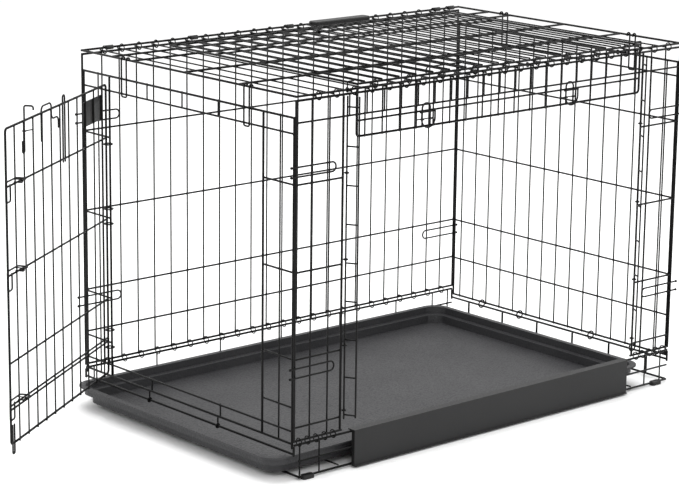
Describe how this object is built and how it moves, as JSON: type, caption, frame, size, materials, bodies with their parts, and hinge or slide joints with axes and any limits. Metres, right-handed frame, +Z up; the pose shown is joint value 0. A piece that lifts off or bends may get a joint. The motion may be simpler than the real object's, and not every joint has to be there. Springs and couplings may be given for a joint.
{
  "type": "wire dog crate",
  "caption": "Black wire dog crate with a side swing door standing open, an overhead front door stored on the roof, a slide-out tray and a carry handle.",
  "frame": {"origin": "on the floor under the middle of the crate's footprint, with all doors and the tray left out of account", "axes": "+X along the long side, away from the end with the swing door; +Y from the side with the overhead door to the back; +Z up"},
  "size_m": [1.3061, 0.6161, 0.6577],
  "materials": {
    "black_wire": "satin",
    "tray_plastic": "matte",
    "plate_plastic": "satin",
    "black_plastic": "satin"
  },
  "bodies": {
    "root": {"back_panel_cross_wires": "black_wire", "back_panel_frame": "black_wire", "back_panel_uprights": "black_wire", "base_corner_stubs": "black_wire", "base_end_left": "black_wire", "base_end_right": "black_wire", "base_feet": "black_plastic", "base_rails_back": "black_wire", "base_rails_front": "black_wire", "base_right_posts": "black_wire", "base_rings": "black_wire", "base_uprights": "black_wire", "corner_clips": "black_wire", "floor_grid": "black_wire", "front_panel_frame": "black_wire", "front_panel_header": "black_wire", "front_panel_strips": "black_wire", "guide_ladder_left": "black_wire", "guide_ladder_right": "black_wire", "ladder_eyes": "black_wire", "left_panel_base_hooks": "black_wire", "left_panel_door_posts": "black_wire", "left_panel_frame": "black_wire", "left_panel_sill_and_header": "black_wire", "left_panel_strips": "black_wire", "right_base_rings": "black_wire", "right_panel_cross_wires": "black_wire", "right_panel_frame": "black_wire", "right_panel_uprights": "black_wire", "roof_cross_wires": "black_wire", "roof_edge_sleeves": "black_plastic", "roof_frame": "black_wire", "roof_rings": "black_wire", "roof_stiffeners": "black_wire", "swing_door_hinge_rings": "black_wire", "top_hooks": "black_wire"},
    "tray": {"tray": "tray_plastic"},
    "threshold": {"threshold_plate": "plate_plastic"},
    "swing_door": {"swing_door_frame": "black_wire", "swing_door_cross_wires": "black_wire", "swing_door_uprights": "black_wire", "swing_door_blank_plate": "black_plastic", "swing_door_loops": "black_wire", "swing_door_keepers": "black_wire"},
    "bolt_lower": {"side_bolt_lower": "black_wire"},
    "bolt_middle": {"side_bolt_middle": "black_wire"},
    "bolt_upper": {"side_bolt_upper": "black_wire"},
    "door_top_bolt": {"top_bolt": "black_wire"},
    "guide": {"roof_edge_clips": "black_wire", "door_guide_arms": "black_wire"},
    "section": {"overhead_section_frame": "black_wire", "overhead_section_wires": "black_wire"},
    "band": {"overhead_band_frame": "black_wire", "overhead_band_wires": "black_wire", "overhead_band_rings": "black_wire", "band_bolt_keepers": "black_wire"},
    "band_latch_left": {"band_bolt_left": "black_wire"},
    "band_latch_right": {"band_bolt_right": "black_wire"},
    "handle": {"handle_arms": "black_wire", "handle_grip": "black_plastic"}
  },
  "joints": [
    {"name": "tray_slide", "type": "slide", "parent": "root", "child": "tray", "axis": [-1, 0, 0], "range_m": [-0.038, 0.8]},
    {"name": "threshold_lift", "type": "slide", "parent": "root", "child": "threshold", "axis": [0, 0, -1], "range_m": [-0.07, 0]},
    {"name": "swing_door_hinge", "type": "hinge", "parent": "root", "child": "swing_door", "pos_m": [-0.466, 0.212, 0.3335], "axis": [0, 0, 1], "range_deg": [-113, 57]},
    {"name": "top_bolt_slide", "type": "slide", "parent": "swing_door", "child": "door_top_bolt", "axis": [0, 0, 1], "range_m": [-0.0047, 0.005]},
    {"name": "bolt_upper_slide", "type": "slide", "parent": "swing_door", "child": "bolt_upper", "axis": [-0.8387, -0.5446, 0], "range_m": [0, 0.016]},
    {"name": "bolt_middle_slide", "type": "slide", "parent": "swing_door", "child": "bolt_middle", "axis": [-0.8387, -0.5446, 0], "range_m": [0, 0.016]},
    {"name": "bolt_lower_slide", "type": "slide", "parent": "swing_door", "child": "bolt_lower", "axis": [-0.8387, -0.5446, 0], "range_m": [0, 0.016]},
    {"name": "guide_tilt", "type": "hinge", "parent": "root", "child": "guide", "pos_m": [0, -0.293, 0.643], "axis": [1, 0, 0], "range_deg": [0, 90]},
    {"name": "section_slide", "type": "slide", "parent": "guide", "child": "section", "axis": [0, -1, 0], "range_m": [0, 0.475]},
    {"name": "band_hinge", "type": "hinge", "parent": "section", "child": "band", "pos_m": [0, -0.3025, 0.6525], "axis": [1, 0, 0], "range_deg": [-90, 0]},
    {"name": "band_latch_left_slide", "type": "slide", "parent": "band", "child": "band_latch_left", "axis": [0, 0, 1], "range_m": [0, 0.012]},
    {"name": "band_latch_right_slide", "type": "slide", "parent": "band", "child": "band_latch_right", "axis": [0, 0, 1], "range_m": [0, 0.012]},
    {"name": "handle_fold", "type": "hinge", "parent": "root", "child": "handle", "pos_m": [0.1, 0.205, 0.643], "axis": [1, 0, 0], "range_deg": [0, 80]}
  ],
  "couplings": [
    {"joint": "band_hinge", "follows": "guide_tilt", "ratio": -1}
  ]
}
